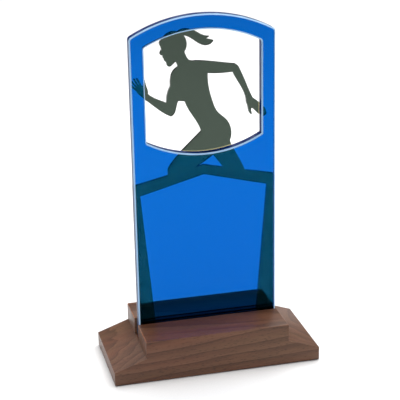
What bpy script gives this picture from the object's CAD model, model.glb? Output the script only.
"""Look of the figure trophy: two acrylic plates on a lacquered walnut base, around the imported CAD."""

import logging
from dataclasses import dataclass
from enum import Enum
from math import pi, radians
from typing import Any

import bpy
from mathutils import Matrix, Vector


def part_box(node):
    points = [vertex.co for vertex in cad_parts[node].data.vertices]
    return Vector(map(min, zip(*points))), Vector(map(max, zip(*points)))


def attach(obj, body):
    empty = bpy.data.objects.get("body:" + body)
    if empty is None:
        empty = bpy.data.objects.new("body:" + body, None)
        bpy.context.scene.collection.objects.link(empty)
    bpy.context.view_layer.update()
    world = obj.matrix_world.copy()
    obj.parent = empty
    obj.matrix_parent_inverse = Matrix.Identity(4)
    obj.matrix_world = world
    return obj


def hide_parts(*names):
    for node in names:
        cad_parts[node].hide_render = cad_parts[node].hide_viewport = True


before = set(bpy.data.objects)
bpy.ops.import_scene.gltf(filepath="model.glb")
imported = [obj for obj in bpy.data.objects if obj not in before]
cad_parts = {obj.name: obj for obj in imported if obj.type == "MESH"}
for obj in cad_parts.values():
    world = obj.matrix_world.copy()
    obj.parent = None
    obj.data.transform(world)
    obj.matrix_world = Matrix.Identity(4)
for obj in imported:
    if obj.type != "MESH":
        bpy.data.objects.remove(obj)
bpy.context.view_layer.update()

LOG = logging.getLogger("figure_trophy")
MM = 0.001
IOR_ACRYLIC = 1.49
TOUCH = 0.01 * MM  # vertices closer than this to a level lie on it
Socket = bpy.types.NodeSocket
Node = bpy.types.Node


class Axis(Enum):
    """Directions that vertices are picked and moved along."""

    Y = 1
    Z = 2


# ---- node and colour helpers ----------------------------------------------------------------------


def linear(hex_colour: str) -> tuple[float, float, float, float]:
    """Turn an sRGB hex colour into linear RGBA.

    Args:
        hex_colour: six hex digits with a leading #.

    Returns:
        The colour as shaders expect it, opaque.
    """
    channels = [int(hex_colour[i : i + 2], 16) / 255 for i in (1, 3, 5)]
    bent = [c / 12.92 if c <= 0.04045 else ((c + 0.055) / 1.055) ** 2.4 for c in channels]
    return (bent[0], bent[1], bent[2], 1.0)


def add_node(
    tree: bpy.types.NodeTree, kind: str, settings: dict[str, Any] | None = None, **inputs: Any
) -> Node:
    """Add a node with its settings, its socket values and its links.

    Args:
        tree: node tree that takes the node.
        kind: class name of the node.
        settings: attributes of the node itself.
        **inputs: socket values or output sockets, by socket name with spaces as underscores, or by
            in_0, in_1 and so on where names repeat.

    Returns:
        The new node.
    """
    node = tree.nodes.new(kind)
    for name, value in (settings or {}).items():
        setattr(node, name, value)
    for name, value in inputs.items():
        key: int | str = int(name[3:]) if name.startswith("in_") else name.replace("_", " ")
        socket = node.inputs[key]
        if isinstance(value, bpy.types.NodeSocket):
            tree.links.new(value, socket)
        else:
            socket.default_value = value
    return node


def set_ramp(node: Node, stops: list[tuple[float, str]]) -> None:
    """Give a Color Ramp its stops.

    Args:
        node: the Color Ramp.
        stops: positions from 0 to 1 with their hex colours, in order.
    """
    elements = node.color_ramp.elements
    while len(elements) < len(stops):
        elements.new(0.5)
    for element, (position, colour) in zip(elements, stops):
        element.position = position
        element.color = linear(colour)


# ---- finishes -----------------------------------------------------------------------------------------


@dataclass(frozen=True)
class Finish:
    """A surface finish that becomes one material.

    Args:
        name: name of the material, for what the real one is.
    """

    name: str

    def material(self) -> bpy.types.Material:
        """Return the finish's material, made on first use."""
        made = bpy.data.materials.get(self.name)
        if made is None:
            made = bpy.data.materials.new(self.name)
            made.use_nodes = True
            made.node_tree.nodes.clear()
            self.build(made.node_tree)
        return made

    def build(self, tree: bpy.types.NodeTree) -> None:
        """Fill the empty node tree; each finish does it in its own way."""
        raise NotImplementedError

    def object_coordinates(self, tree: bpy.types.NodeTree, **mapping: Any) -> Socket:
        """Add Object coordinates through a Mapping node.

        Args:
            tree: node tree that takes the nodes.
            **mapping: values for the Mapping node's sockets.

        Returns:
            The mapped vector.
        """
        texture = add_node(tree, "ShaderNodeTexCoord")
        return add_node(
            tree, "ShaderNodeMapping", Vector=texture.outputs["Object"], **mapping
        ).outputs["Vector"]


@dataclass(frozen=True)
class LacqueredWalnut(Finish):
    """American walnut, planed, sanded and sprayed with satin lacquer.

    The eye gets dark chocolate growth bands that run lengthwise, a slow drift between reddish and
    olive brown, open pores as short dark dashes, and a broad soft sheen.
    """

    ring_width: float = 7.0 * MM  # growth ring, as a flat-sawn face cuts it
    pith: tuple[float, float, float] = (0.0, 22.0 * MM, -64.0 * MM)
    pull: float = 15.0 * MM  # how far the rings wander from true circles
    grain_stretch: float = 0.10
    grain_climb: float = 2.0  # degrees between the fibres and the board's length
    # Real pores are 0.15 mm wide; they are drawn 0.32 mm wide and 7 mm long so that they show.
    pore_width: float = 0.32 * MM
    tone: float = 1.0  # above 1 where sanding left the wood pale
    pore_length: float = 7.0 * MM

    def build(self, tree: bpy.types.NodeTree) -> None:
        """Build rings, drift, pores and lacquer."""
        climb = (0.0, radians(self.grain_climb), radians(self.grain_climb))
        board = self.object_coordinates(tree, Rotation=climb)
        along = add_node(
            tree, "ShaderNodeMapping", Vector=board, Scale=(self.grain_stretch, 1.0, 1.0)
        ).outputs["Vector"]
        drift = add_node(tree, "ShaderNodeTexNoise", Vector=along, Scale=38.0, Detail=3.0, Roughness=0.55)
        pull = add_node(
            tree,
            "ShaderNodeVectorMath",
            {"operation": "MULTIPLY_ADD"},
            in_0=drift.outputs["Color"],
            in_1=(0.0, self.pull, self.pull),
            in_2=along,
        )
        centred = add_node(
            tree,
            "ShaderNodeMapping",
            Vector=pull.outputs["Vector"],
            Location=(0.0, -self.pith[1] - self.pull / 2, -self.pith[2] - self.pull / 2),
        )
        rings = add_node(
            tree,
            "ShaderNodeTexWave",
            {"wave_type": "RINGS", "rings_direction": "X", "wave_profile": "SAW"},
            Vector=centred.outputs["Vector"],
            Scale=2 * pi / (20 * self.ring_width),
            Distortion=7.0,
            Detail=4.0,
            Detail_Scale=0.5,
        )
        ring_colour = add_node(tree, "ShaderNodeValToRGB", Fac=rings.outputs["Fac"])
        set_ramp(
            ring_colour,
            [
                (0.0, "#82614B"),
                (0.40, "#7B5A44"),
                (0.75, "#72513D"),
                (0.94, "#644734"),
                (1.0, "#7B5A44"),
            ],
        )
        patches = add_node(tree, "ShaderNodeTexNoise", Vector=along, Scale=60.0, Detail=2.0)
        tint = add_node(tree, "ShaderNodeValToRGB", Fac=patches.outputs["Fac"])
        set_ramp(tint, [(0.30, "#935F48"), (0.50, "#836048"), (0.70, "#7E6C48")])
        warmed = add_node(
            tree,
            "ShaderNodeMix",
            {"data_type": "RGBA", "blend_type": "OVERLAY"},
            in_0=0.55,
            in_6=ring_colour.outputs["Color"],
            in_7=tint.outputs["Color"],
        )
        streaks = add_node(
            tree, "ShaderNodeTexNoise", Vector=pull.outputs["Vector"], Scale=150.0, Detail=6.0, Roughness=0.7
        )
        streak_shade = add_node(
            tree,
            "ShaderNodeMapRange",
            Value=streaks.outputs["Fac"],
            From_Min=0.3,
            From_Max=0.7,
            To_Min=0.76 * self.tone,
            To_Max=1.18 * self.tone,
        )
        streaked = add_node(
            tree,
            "ShaderNodeVectorMath",
            {"operation": "SCALE"},
            Vector=warmed.outputs[2],
            Scale=streak_shade.outputs["Result"],
        )
        fibre_space = add_node(
            tree, "ShaderNodeMapping", Vector=board, Scale=(45.0, 1100.0, 1100.0)
        ).outputs["Vector"]
        fibre = add_node(tree, "ShaderNodeTexNoise", Vector=fibre_space, Scale=1.0, Detail=4.0)
        fibre_shade = add_node(
            tree, "ShaderNodeMapRange", Value=fibre.outputs["Fac"], To_Min=0.80, To_Max=1.20
        )
        fibrous = add_node(
            tree,
            "ShaderNodeVectorMath",
            {"operation": "SCALE"},
            Vector=streaked.outputs["Vector"],
            Scale=fibre_shade.outputs["Result"],
        )
        across = 1 / (2.2 * self.pore_width)
        pore_space = add_node(
            tree, "ShaderNodeMapping", Vector=board, Scale=(1 / self.pore_length, across, across)
        ).outputs["Vector"]
        pore_cells = add_node(
            tree, "ShaderNodeTexVoronoi", {"feature": "F1"}, Vector=pore_space, Scale=1.0, Randomness=1.0
        )
        pore_mask = add_node(
            tree, "ShaderNodeMapRange", Value=pore_cells.outputs["Distance"], From_Min=0.10, From_Max=0.30
        )
        toned = add_node(
            tree,
            "ShaderNodeMix",
            {"data_type": "RGBA", "blend_type": "MIX"},
            in_0=pore_mask.outputs["Result"],
            in_6=linear("#2E1F17"),
            in_7=fibrous.outputs["Vector"],
        )
        dents = add_node(
            tree,
            "ShaderNodeBump",
            Strength=0.5,
            Distance=0.06 * MM,
            Height=pore_mask.outputs["Result"],
        )
        sheen = add_node(
            tree, "ShaderNodeMapRange", Value=patches.outputs["Fac"], To_Min=0.36, To_Max=0.50
        )
        lacquer = add_node(
            tree,
            "ShaderNodeBsdfPrincipled",
            Base_Color=toned.outputs[2],
            Roughness=sheen.outputs["Result"],
            IOR=1.5,
            Specular_IOR_Level=0.3,
            Coat_Weight=0.15,
            Coat_Roughness=0.22,
            Normal=dents.outputs["Normal"],
        )
        add_node(tree, "ShaderNodeOutputMaterial", Surface=lacquer.outputs["BSDF"])


@dataclass(frozen=True)
class CastAcrylic(Finish):
    """Polished cast acrylic sheet, dyed right through.

    The eye gets a clear deep tint that grows with the path through the sheet, and the faint swell
    that casting between glass plates leaves. Real acrylic also reflects sharply; here the reflection
    is turned down to about 6 %, so that the broad ceiling light doesn't wash out the dye.
    """

    dye: str = "#FFFFFF"  # what the dye lets through of each colour, where density sets how much
    density: float = 100.0  # per metre
    roughness: float = 0.0
    clarity: float = 1.0  # share of the light that goes through rather than scattering
    body: str = "#FFFFFF"
    gloss: str = "#484848"  # tint of the reflection; #FFFFFF is what real acrylic has
    swell: float = 22.0 * MM
    swell_height: float = 0.004 * MM

    def build(self, tree: bpy.types.NodeTree) -> None:
        """Build the polished surface and the dye in its depth."""
        place = self.object_coordinates(tree)
        waves = add_node(tree, "ShaderNodeTexNoise", Vector=place, Scale=1 / self.swell, Detail=1.0)
        swell = add_node(
            tree, "ShaderNodeBump", Strength=0.3, Distance=self.swell_height, Height=waves.outputs["Fac"]
        )
        sheet = add_node(
            tree,
            "ShaderNodeBsdfPrincipled",
            Base_Color=linear(self.body),
            Roughness=self.roughness,
            IOR=IOR_ACRYLIC,
            Specular_Tint=linear(self.gloss),
            Transmission_Weight=self.clarity,
            Normal=swell.outputs["Normal"],
        )
        dye = add_node(
            tree, "ShaderNodeVolumeAbsorption", Color=linear(self.dye), Density=self.density
        )
        add_node(
            tree, "ShaderNodeOutputMaterial", Surface=sheet.outputs["BSDF"], Volume=dye.outputs["Volume"]
        )


@dataclass(frozen=True)
class SmokedAcrylic(Finish):
    """Polished cast acrylic sheet with a thin smoke tint.

    The eye gets a grey-green film that is dense against white light and reads as a lighter slate
    where the dyed plate covers it. One even dye doesn't give both, so two fitted tints meet on the
    outline of that plate's window. They suit a view from the front, and aren't a real dye's.
    """

    open_tint: str = "#414B43"
    covered_tint: str = "#BAAA78"
    gloss: str = "#484848"  # tint of the reflection; #FFFFFF is what real acrylic has
    half_window: float = 51.0 * MM
    top_arc: tuple[float, float] = (194.3 * MM, 108.0 * MM)  # height of its centre, radius
    bottom_arc: tuple[float, float] = (297.8 * MM, 104.0 * MM)
    swell: float = 22.0 * MM
    swell_height: float = 0.004 * MM

    def window_mask(self, tree: bpy.types.NodeTree) -> Socket:
        """Add nodes that are 1 inside the window's outline and 0 outside it.

        Args:
            tree: node tree that takes the nodes.

        Returns:
            The mask.
        """
        flat = self.object_coordinates(tree, Scale=(1.0, 0.0, 1.0))
        across = add_node(tree, "ShaderNodeSeparateXYZ", Vector=flat).outputs["X"]
        offset = add_node(tree, "ShaderNodeMath", {"operation": "ABSOLUTE"}, in_0=across)
        mask = add_node(
            tree, "ShaderNodeMath", {"operation": "LESS_THAN"}, in_0=offset.outputs[0], in_1=self.half_window
        )
        for height, radius in (self.top_arc, self.bottom_arc):
            reach = add_node(
                tree,
                "ShaderNodeVectorMath",
                {"operation": "DISTANCE"},
                in_0=flat,
                in_1=(0.0, 0.0, height),
            )
            within = add_node(
                tree, "ShaderNodeMath", {"operation": "LESS_THAN"}, in_0=reach.outputs["Value"], in_1=radius
            )
            mask = add_node(
                tree,
                "ShaderNodeMath",
                {"operation": "MULTIPLY"},
                in_0=mask.outputs[0],
                in_1=within.outputs[0],
            )
        return mask.outputs[0]

    def build(self, tree: bpy.types.NodeTree) -> None:
        """Build the polished surface and its tint."""
        tint = add_node(
            tree,
            "ShaderNodeMix",
            {"data_type": "RGBA"},
            in_0=self.window_mask(tree),
            in_6=linear(self.covered_tint),
            in_7=linear(self.open_tint),
        )
        place = self.object_coordinates(tree)
        waves = add_node(tree, "ShaderNodeTexNoise", Vector=place, Scale=1 / self.swell, Detail=1.0)
        swell = add_node(
            tree, "ShaderNodeBump", Strength=0.3, Distance=self.swell_height, Height=waves.outputs["Fac"]
        )
        sheet = add_node(
            tree,
            "ShaderNodeBsdfPrincipled",
            Base_Color=tint.outputs[2],
            Roughness=0.0,
            IOR=IOR_ACRYLIC,
            Specular_Tint=linear(self.gloss),
            Transmission_Weight=1.0,
            Normal=swell.outputs["Normal"],
        )
        add_node(tree, "ShaderNodeOutputMaterial", Surface=sheet.outputs["BSDF"])


@dataclass(frozen=True)
class SatinBevel(CastAcrylic):
    """The same dyed acrylic where a router cut it, unpolished: the front bevels and the walls.

    The eye gets a pale frosted line, because the fine cutter marks scatter light at the surface.
    """

    mark_spacing: float = 0.5 * MM

    def build(self, tree: bpy.types.NodeTree) -> None:
        """Build the frosted surface with its cutter marks."""
        place = self.object_coordinates(tree)
        marks = add_node(
            tree, "ShaderNodeTexNoise", Vector=place, Scale=1 / self.mark_spacing, Detail=2.0
        )
        rub = add_node(
            tree, "ShaderNodeBump", Strength=0.4, Distance=0.02 * MM, Height=marks.outputs["Fac"]
        )
        frost = add_node(
            tree,
            "ShaderNodeBsdfPrincipled",
            Base_Color=linear(self.body),
            Roughness=self.roughness,
            IOR=IOR_ACRYLIC,
            Specular_Tint=linear(self.gloss),
            Transmission_Weight=self.clarity,
            Normal=rub.outputs["Normal"],
        )
        dye = add_node(
            tree, "ShaderNodeVolumeAbsorption", Color=linear(self.dye), Density=self.density
        )
        add_node(
            tree, "ShaderNodeOutputMaterial", Surface=frost.outputs["BSDF"], Volume=dye.outputs["Volume"]
        )


@dataclass(frozen=True)
class ClearTape(Finish):
    """Clear acrylic transfer tape: nearly invisible where it wets both plates."""

    def build(self, tree: bpy.types.NodeTree) -> None:
        """Build a see-through film with a trace of gloss and fine bubbles."""
        place = self.object_coordinates(tree, Scale=(1 / (1.5 * MM),) * 3)
        bubbles = add_node(tree, "ShaderNodeTexVoronoi", Vector=place, Scale=1.0)
        trapped = add_node(
            tree, "ShaderNodeMapRange", Value=bubbles.outputs["Distance"], From_Min=0.05, From_Max=0.18,
            To_Min=0.12, To_Max=0.015,
        )
        clear = add_node(tree, "ShaderNodeBsdfTransparent", Color=linear("#FAFAF8"))
        gloss = add_node(tree, "ShaderNodeBsdfGlossy", Color=linear("#FFFFFF"), Roughness=0.2)
        film = add_node(
            tree,
            "ShaderNodeMixShader",
            in_0=trapped.outputs["Result"],
            in_1=clear.outputs["BSDF"],
            in_2=gloss.outputs["BSDF"],
        )
        add_node(tree, "ShaderNodeOutputMaterial", Surface=film.outputs["Shader"])


@dataclass(frozen=True)
class MatRubber(Finish):
    """Moulded black rubber strip: matt, slightly dusty."""

    colour: str = "#121212"
    dust: str = "#2A2826"

    def build(self, tree: bpy.types.NodeTree) -> None:
        """Build the matt surface with dust in its pits."""
        place = self.object_coordinates(tree)
        grain = add_node(tree, "ShaderNodeTexNoise", Vector=place, Scale=1 / (0.8 * MM), Detail=3.0)
        shade = add_node(tree, "ShaderNodeValToRGB", Fac=grain.outputs["Fac"])
        set_ramp(shade, [(0.45, self.colour), (0.75, self.dust)])
        skin = add_node(
            tree, "ShaderNodeBump", Strength=0.4, Distance=0.03 * MM, Height=grain.outputs["Fac"]
        )
        rubber = add_node(
            tree,
            "ShaderNodeBsdfPrincipled",
            Base_Color=shade.outputs["Color"],
            Roughness=0.8,
            Normal=skin.outputs["Normal"],
        )
        add_node(tree, "ShaderNodeOutputMaterial", Surface=rubber.outputs["BSDF"])


@dataclass(frozen=True)
class PressedFelt(Finish):
    """Pressed black wool felt: a matted nap with paler loose fibres."""

    fibre: float = 0.35 * MM

    def build(self, tree: bpy.types.NodeTree) -> None:
        """Build matted fibres with a soft sheen."""
        place = self.object_coordinates(tree)
        knots = add_node(
            tree, "ShaderNodeTexNoise", Vector=place, Scale=1 / self.fibre, Detail=5.0, Roughness=0.7,
            Distortion=1.5,
        )
        shade = add_node(tree, "ShaderNodeValToRGB", Fac=knots.outputs["Fac"])
        set_ramp(shade, [(0.35, "#0B0B0C"), (0.60, "#1B1B1D"), (0.80, "#38383A")])
        nap = add_node(
            tree, "ShaderNodeBump", Strength=0.8, Distance=0.15 * MM, Height=knots.outputs["Fac"]
        )
        wool = add_node(
            tree,
            "ShaderNodeBsdfPrincipled",
            Base_Color=shade.outputs["Color"],
            Roughness=0.95,
            Sheen_Weight=0.4,
            Sheen_Roughness=0.5,
            Normal=nap.outputs["Normal"],
        )
        add_node(tree, "ShaderNodeOutputMaterial", Surface=wool.outputs["BSDF"])


@dataclass(frozen=True)
class ZincPlatedSteel(Finish):
    """Turned steel with bright zinc plating: cool grey with fine turning marks."""

    def build(self, tree: bpy.types.NodeTree) -> None:
        """Build the plated metal with its turning marks."""
        place = self.object_coordinates(tree)
        marks = add_node(tree, "ShaderNodeTexNoise", Vector=place, Scale=1 / (0.4 * MM), Detail=3.0)
        rough = add_node(
            tree, "ShaderNodeMapRange", Value=marks.outputs["Fac"], To_Min=0.25, To_Max=0.45
        )
        shade = add_node(tree, "ShaderNodeValToRGB", Fac=marks.outputs["Fac"])
        set_ramp(shade, [(0.3, "#A9ACB0"), (0.7, "#C4C6C8")])
        plating = add_node(
            tree,
            "ShaderNodeBsdfPrincipled",
            Base_Color=shade.outputs["Color"],
            Metallic=1.0,
            Roughness=rough.outputs["Result"],
        )
        add_node(tree, "ShaderNodeOutputMaterial", Surface=plating.outputs["BSDF"])


@dataclass(frozen=True)
class StudioPaper(Finish):
    """Seamless white background paper, matt with a trace of tooth."""

    def build(self, tree: bpy.types.NodeTree) -> None:
        """Build the matt white paper."""
        place = self.object_coordinates(tree)
        tooth = add_node(tree, "ShaderNodeTexNoise", Vector=place, Scale=1 / (1.5 * MM), Detail=2.0)
        shade = add_node(tree, "ShaderNodeValToRGB", Fac=tooth.outputs["Fac"])
        set_ramp(shade, [(0.3, "#F3F3F3"), (0.7, "#F7F7F7")])
        paper = add_node(
            tree,
            "ShaderNodeBsdfPrincipled",
            Base_Color=shade.outputs["Color"],
            Roughness=0.9,
            Specular_IOR_Level=0.1,
        )
        add_node(tree, "ShaderNodeOutputMaterial", Surface=paper.outputs["BSDF"])


BLUE_DYE = {"dye": "#00D4F1", "density": 790.0}
WALNUT = LacqueredWalnut("lacquered_walnut")
RUBBED_WALNUT = LacqueredWalnut("rubbed_walnut_arris", tone=2.4)
BLUE_ACRYLIC = CastAcrylic("blue_cast_acrylic", **BLUE_DYE)
BLUE_BEVEL = SatinBevel(
    "blue_acrylic_satin_bevel", roughness=0.6, clarity=0.15, body="#B2DAFF", gloss="#FFFFFF", **BLUE_DYE
)
BLUE_WALL = SatinBevel(
    "blue_acrylic_routed_wall", roughness=0.4, clarity=0.3, body="#002A74", gloss="#304058", **BLUE_DYE
)
SMOKED_ACRYLIC = SmokedAcrylic("smoked_cast_acrylic")
# Bluish, so that light through a covered edge and the tan covered tint comes out neutral.
SMOKED_EDGE = SmokedAcrylic("smoked_acrylic_edge", open_tint="#4C5450", covered_tint="#566484")
TAPE = ClearTape("clear_transfer_tape")
RUBBER = MatRubber("black_rubber")
FELT = PressedFelt("black_wool_felt")
STEEL = ZincPlatedSteel("zinc_plated_steel")
PAPER = StudioPaper("white_background_paper")


# ---- modelling helpers ----------------------------------------------------------------------------------


def deselect_all() -> None:
    """Leave nothing selected, because operators act on all that is."""
    bpy.ops.object.select_all(action="DESELECT")


def make_active(piece: bpy.types.Object) -> None:
    """Select only this piece and make it active."""
    deselect_all()
    piece.select_set(True)
    bpy.context.view_layer.objects.active = piece


def copy_of_node(node: str, name: str, whole_faces: bool = False) -> bpy.types.Object:
    """Copy a CAD node's mesh into a new piece, with its triangles joined up.

    Args:
        node: name of the CAD node.
        name: name of the new piece.
        whole_faces: whether each flat face becomes one, as rounding its edges needs.

    Returns:
        The new piece.
    """
    source = bpy.data.objects[node]
    piece = bpy.data.objects.new(name, source.data.copy())
    piece.data.name = name
    piece.data.materials.clear()
    bpy.context.collection.objects.link(piece)
    make_active(piece)
    bpy.ops.object.mode_set(mode="EDIT")
    bpy.ops.mesh.select_all(action="SELECT")
    bpy.ops.mesh.remove_doubles(threshold=0.001 * MM)
    if whole_faces:
        bpy.ops.mesh.dissolve_limited(angle_limit=radians(0.1))
    bpy.ops.object.mode_set(mode="OBJECT")
    return piece


def move_level(piece: bpy.types.Object, axis: Axis, level: float, by: float) -> None:
    """Move all vertices that lie at one level, along that axis.

    Args:
        piece: the piece, active and in object mode.
        axis: direction of the level and of the move.
        level: coordinate of the vertices to move.
        by: how far they move.
    """
    bpy.ops.object.mode_set(mode="EDIT")
    bpy.ops.mesh.select_mode(type="VERT")
    bpy.ops.mesh.select_all(action="DESELECT")
    bpy.ops.object.mode_set(mode="OBJECT")
    for vertex in piece.data.vertices:
        vertex.select = abs(vertex.co[axis.value] - level) < TOUCH
    bpy.ops.object.mode_set(mode="EDIT")
    move = Vector((0.0, 0.0, 0.0))
    move[axis.value] = by
    bpy.ops.transform.translate(value=move)
    bpy.ops.object.mode_set(mode="OBJECT")


def round_edges(piece: bpy.types.Object, width: float, segments: int) -> None:
    """Round every real edge of a piece with a bevel, applied.

    Args:
        piece: the piece.
        width: reach of the rounding.
        segments: faces across it.
    """
    make_active(piece)
    bevel = piece.modifiers.new("eased edges", "BEVEL")
    bevel.width = width
    bevel.segments = segments
    bevel.limit_method = "ANGLE"
    bevel.angle_limit = radians(30)
    bevel.use_clamp_overlap = True
    bpy.ops.object.modifier_apply(modifier=bevel.name)


def smooth(piece: bpy.types.Object, angle: float = 25.0) -> None:
    """Shade a piece smooth but for edges sharper than the angle in degrees."""
    make_active(piece)
    bpy.ops.object.shade_smooth_by_angle(angle=radians(angle))


def keep_sheet_flat(plate: bpy.types.Object) -> None:
    """Shade a plate's large front and back faces dead flat, as polished sheet is."""
    for face in plate.data.polygons:
        if abs(face.normal.y) > 0.99 or face.area < (0.02 * MM) ** 2:
            face.use_smooth = False


def hand_over(piece: bpy.types.Object, node: str, finishes: list[Finish]) -> None:
    """Dress a finished piece and let it stand for its CAD node.

    Args:
        piece: the finished piece.
        node: CAD node that it replaces.
        finishes: its materials in the order of its slots.
    """
    for finish in finishes:
        piece.data.materials.append(finish.material())
    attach(piece, "root")
    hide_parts(node)
    LOG.info("%s stands for %s, %d faces", piece.name, node, len(piece.data.polygons))


# ---- sub-assemblies ------------------------------------------------------------------------------------


@dataclass
class WalnutBase:
    """The slotted walnut base with its felt."""

    arris: float = 0.5 * MM  # asked for; the clamp leaves far less
    flat_normal: float = 0.97
    arris_area: float = 60.0 * MM * MM
    felt_corner: float = 3.0 * MM
    felt_rim: float = 0.25 * MM

    def build(self) -> None:
        """Build the wood and the felt."""
        self.build_wood()
        self.build_felt()

    def build_wood(self) -> None:
        """Ease the arrises of the wood and lacquer it.

        The bevel's clamp takes the easing down to about 0.02 mm, because of the short facets round
        the screw holes. So the pale finish shows on the CAD's own chamfers and in the screw holes.
        """
        wood = copy_of_node("walnut_base", "walnut_base_eased", whole_faces=True)
        round_edges(wood, self.arris, 3)
        smooth(wood)
        hand_over(wood, "walnut_base", [WALNUT, RUBBED_WALNUT])
        for face in wood.data.polygons:
            if max(abs(part) for part in face.normal) < self.flat_normal and face.area < self.arris_area:
                face.material_index = 1

    def build_felt(self) -> None:
        """Shape the felt: a thin sheet with round corners and a soft rim."""
        low, high = (Vector(corner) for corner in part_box("felt_pad"))
        size = high - low
        deselect_all()
        bpy.ops.mesh.primitive_cube_add(size=1.0, location=(low + high) / 2)
        felt = bpy.context.object
        felt.name = felt.data.name = "felt_pad_napped"
        felt.scale = size
        bpy.ops.object.transform_apply(location=True, rotation=True, scale=True)
        bpy.ops.object.mode_set(mode="EDIT")
        bpy.ops.mesh.select_mode(type="EDGE")
        bpy.ops.mesh.select_all(action="DESELECT")
        bpy.ops.object.mode_set(mode="OBJECT")
        for edge in felt.data.edges:
            ends = [felt.data.vertices[i].co for i in edge.vertices]
            edge.select = abs(ends[0].z - ends[1].z) > size.z / 2
        bpy.ops.object.mode_set(mode="EDIT")
        bpy.ops.mesh.bevel(offset=self.felt_corner, segments=6)
        bpy.ops.object.mode_set(mode="OBJECT")
        round_edges(felt, self.felt_rim, 3)
        smooth(felt, 60.0)
        hand_over(felt, "felt_pad", [FELT])


@dataclass(frozen=True)
class EdgeArc:
    """One of the blue plate's arcs: the height of its centre, its radius and its bevels' growth."""

    centre: float
    radius: float
    outward: float  # 1 where bevels enlarge the radius, -1 where they reduce it

    def radii(self, bevels: tuple[float, ...]) -> list[float]:
        """Return the radius of the arc itself and of its bevels' edges."""
        return [self.radius + self.outward * bevel for bevel in (0.0, *bevels)]

    def nearest(self, point: Vector, bevels: tuple[float, ...], within: float) -> Vector | None:
        """Find where a point belongs on the arc.

        Args:
            point: a vertex of the plate.
            bevels: reach of the front and back bevels.
            within: how far the point may be from the arc.

        Returns:
            The place on the arc at the same depth, or None if the point is not near it.
        """
        spoke = Vector((point.x, 0.0, point.z - self.centre))
        for radius in self.radii(bevels):
            if abs(spoke.length - radius) < within:
                place = spoke.normalized() * radius
                return Vector((place.x, point.y, place.z + self.centre))
        return None


@dataclass
class AcrylicPlates:
    """The blue window plate, the smoked runner behind it and the tape between them."""

    arch: EdgeArc = EdgeArc(188.5 * MM, 127.0 * MM, -1.0)
    window_top: EdgeArc = EdgeArc(194.3 * MM, 108.0 * MM, 1.0)
    window_bottom: EdgeArc = EdgeArc(297.8 * MM, 104.0 * MM, 1.0)
    bevels: tuple[float, ...] = (1.2 * MM, 0.4 * MM)
    arc_cuts: int = 3
    clearance: float = 0.02 * MM  # air film between faces that touch
    satin_normal: float = 0.3
    polished_normal: float = 0.95

    def build(self) -> None:
        """Build the plates and the tape."""
        self.build_blue_plate()
        self.build_smoke_plate()
        self.build_tape()

    def build_blue_plate(self) -> None:
        """Polish the blue plate's faces and leave its front bevels and walls as routed."""
        plate = copy_of_node("blue_window_plate", "blue_plate_polished", whole_faces=True)
        self.refine_arcs(plate)
        low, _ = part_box("blue_window_plate")
        move_level(plate, Axis.Z, low[2], self.clearance)
        smooth(plate)
        keep_sheet_flat(plate)
        hand_over(plate, "blue_window_plate", [BLUE_ACRYLIC, BLUE_BEVEL, BLUE_WALL])
        for face in plate.data.polygons:
            if -self.polished_normal < face.normal.y < -self.satin_normal:
                face.material_index = 1
            elif abs(face.normal.y) < self.satin_normal:
                face.material_index = 2

    def refine_arcs(self, plate: bpy.types.Object) -> None:
        """Cut every facet of the plate's arcs finer and set the new points on the true arcs.

        Args:
            plate: the blue plate.
        """
        arcs = (self.arch, self.window_top, self.window_bottom)
        make_active(plate)
        bpy.ops.object.mode_set(mode="EDIT")
        bpy.ops.mesh.select_mode(type="EDGE")
        bpy.ops.mesh.select_all(action="DESELECT")
        bpy.ops.object.mode_set(mode="OBJECT")
        for edge in plate.data.edges:
            ends = [plate.data.vertices[i].co for i in edge.vertices]
            level = abs(ends[0].y - ends[1].y) < TOUCH
            edge.select = level and any(
                all(arc.nearest(end, self.bevels, 0.02 * MM) for end in ends) for arc in arcs
            )
        bpy.ops.object.mode_set(mode="EDIT")
        bpy.ops.mesh.subdivide(number_cuts=self.arc_cuts, quadcorner="STRAIGHT_CUT")
        bpy.ops.object.mode_set(mode="OBJECT")
        for vertex in plate.data.vertices:
            if vertex.select:
                places = (arc.nearest(vertex.co, self.bevels, 0.2 * MM) for arc in arcs)
                vertex.co = next((place for place in places if place), vertex.co)

    def build_smoke_plate(self) -> None:
        """Polish the smoked runner plate."""
        plate = copy_of_node("smoke_runner_plate", "smoke_runner_polished")
        low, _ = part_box("smoke_runner_plate")
        move_level(plate, Axis.Z, low[2], self.clearance)
        smooth(plate)
        keep_sheet_flat(plate)
        hand_over(plate, "smoke_runner_plate", [SMOKED_ACRYLIC, SMOKED_EDGE])
        for face in plate.data.polygons:
            if abs(face.normal.y) < self.satin_normal:
                face.material_index = 1

    def build_tape(self) -> None:
        """Lay the tape strips between the plates."""
        tape = copy_of_node("transfer_tape", "transfer_tape_strips")
        low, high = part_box("transfer_tape")
        move_level(tape, Axis.Y, low[1], self.clearance)
        move_level(tape, Axis.Y, high[1], -self.clearance)
        hand_over(tape, "transfer_tape", [TAPE])


@dataclass
class Fixings:
    """The packing strip, the screws and their washers."""

    strip_round: float = 0.4 * MM
    clearance: float = 0.02 * MM

    def build(self) -> None:
        """Round the packing strip and plate the steel."""
        strip = copy_of_node("packing_strip", "packing_strip_moulded", whole_faces=True)
        low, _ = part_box("packing_strip")
        round_edges(strip, self.strip_round, 3)
        move_level(strip, Axis.Y, low[1], self.clearance)
        smooth(strip)
        hand_over(strip, "packing_strip", [RUBBER])
        for node in ("plate_screws", "screw_washers"):
            steel = bpy.data.objects[node]
            steel.data.materials.clear()
            steel.data.materials.append(STEEL.material())
            LOG.info("%s is zinc plated", node)


# ---- studio ----------------------------------------------------------------------------------------------


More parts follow.
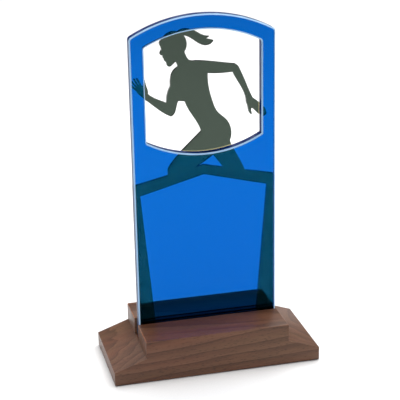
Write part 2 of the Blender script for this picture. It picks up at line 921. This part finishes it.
@dataclass
class SoftBox:
    """A rectangular studio light.

    Args:
        name: name of the light.
        place: position in metres.
        size: width and height in metres.
        power: in watts.
    """

    name: str
    place: tuple[float, float, float]
    size: tuple[float, float]
    power: float
    aim: tuple[float, float, float] = (0.0, 0.0, 0.12)

    def build(self) -> None:
        """Hang the light and turn it to its aim."""
        deselect_all()
        bpy.ops.object.light_add(type="AREA", location=self.place)
        lamp = bpy.context.object
        lamp.name = lamp.data.name = self.name
        lamp.data.shape = "RECTANGLE"
        lamp.data.size, lamp.data.size_y = self.size
        lamp.data.energy = self.power
        towards = Vector(self.aim) - Vector(self.place)
        lamp.rotation_euler = towards.to_track_quat("-Z", "Y").to_euler()


@dataclass
class Studio:
    """White paper on the floor, a broad ceiling light over dim walls, and the camera."""

    camera_place: tuple[float, float, float] = (-0.253817, -1.024766, 0.529274)
    camera_yaw: float = 13.704
    camera_pitch: float = -19.813
    camera_roll: float = -1.088
    camera_lens: float = 114.80
    paper_half_width: float = 4.0
    wall_light: float = 0.08
    ceiling_light: float = 1.2
    glow_low: float = 0.26  # sine of the height at which the walls begin to brighten
    glow_high: float = 0.6

    def build(self) -> None:
        """Set up paper, light and camera."""
        bpy.context.scene.view_settings.view_transform = "Standard"
        self.lay_paper()
        self.light_world()
        for box in (
            SoftBox("key_softbox", (0.35, 0.4, 1.35), (1.2, 1.2), 15.0),
        ):
            box.build()
        self.place_camera()

    def lay_paper(self) -> None:
        """Lay the paper on the floor."""
        deselect_all()
        bpy.ops.mesh.primitive_plane_add(size=2 * self.paper_half_width)
        paper = bpy.context.object
        paper.name = "background_paper"
        paper.data.materials.append(PAPER.material())

    def light_world(self) -> None:
        """Fill the room with white light from above, dimmer towards the walls."""
        world = bpy.data.worlds.new("studio")
        bpy.context.scene.world = world
        world.use_nodes = True
        tree = world.node_tree
        tree.nodes.clear()
        direction = add_node(tree, "ShaderNodeTexCoord").outputs["Generated"]
        parts = add_node(tree, "ShaderNodeSeparateXYZ", Vector=direction)
        strength = add_node(
            tree,
            "ShaderNodeMapRange",
            {"interpolation_type": "SMOOTHSTEP"},
            Value=parts.outputs["Z"],
            From_Min=self.glow_low,
            From_Max=self.glow_high,
            To_Min=self.wall_light,
            To_Max=self.ceiling_light,
        )
        light = add_node(
            tree, "ShaderNodeBackground", Color=linear("#FFFFFF"), Strength=strength.outputs["Result"]
        )
        add_node(tree, "ShaderNodeOutputWorld", Surface=light.outputs["Background"])

    def place_camera(self) -> None:
        """Place the camera, a little left of the middle and looking down."""
        deselect_all()
        bpy.ops.object.camera_add()
        camera = bpy.context.object
        camera.name = camera.data.name = "studio_camera"
        camera.data.lens = self.camera_lens
        camera.data.sensor_width = 36.0
        camera.matrix_world = (
            Matrix.Translation(self.camera_place)
            @ Matrix.Rotation(radians(-self.camera_yaw), 4, "Z")
            @ Matrix.Rotation(radians(90 + self.camera_pitch), 4, "X")
            @ Matrix.Rotation(radians(self.camera_roll), 4, "Z")
        )
        bpy.context.scene.camera = camera


def main() -> None:
    """Build the trophy and its studio."""
    logging.basicConfig(level=logging.INFO)
    for group in (WalnutBase(), AcrylicPlates(), Fixings(), Studio()):
        group.build()
        LOG.info("%s done", type(group).__name__)


if __name__ == "__main__":
    main()
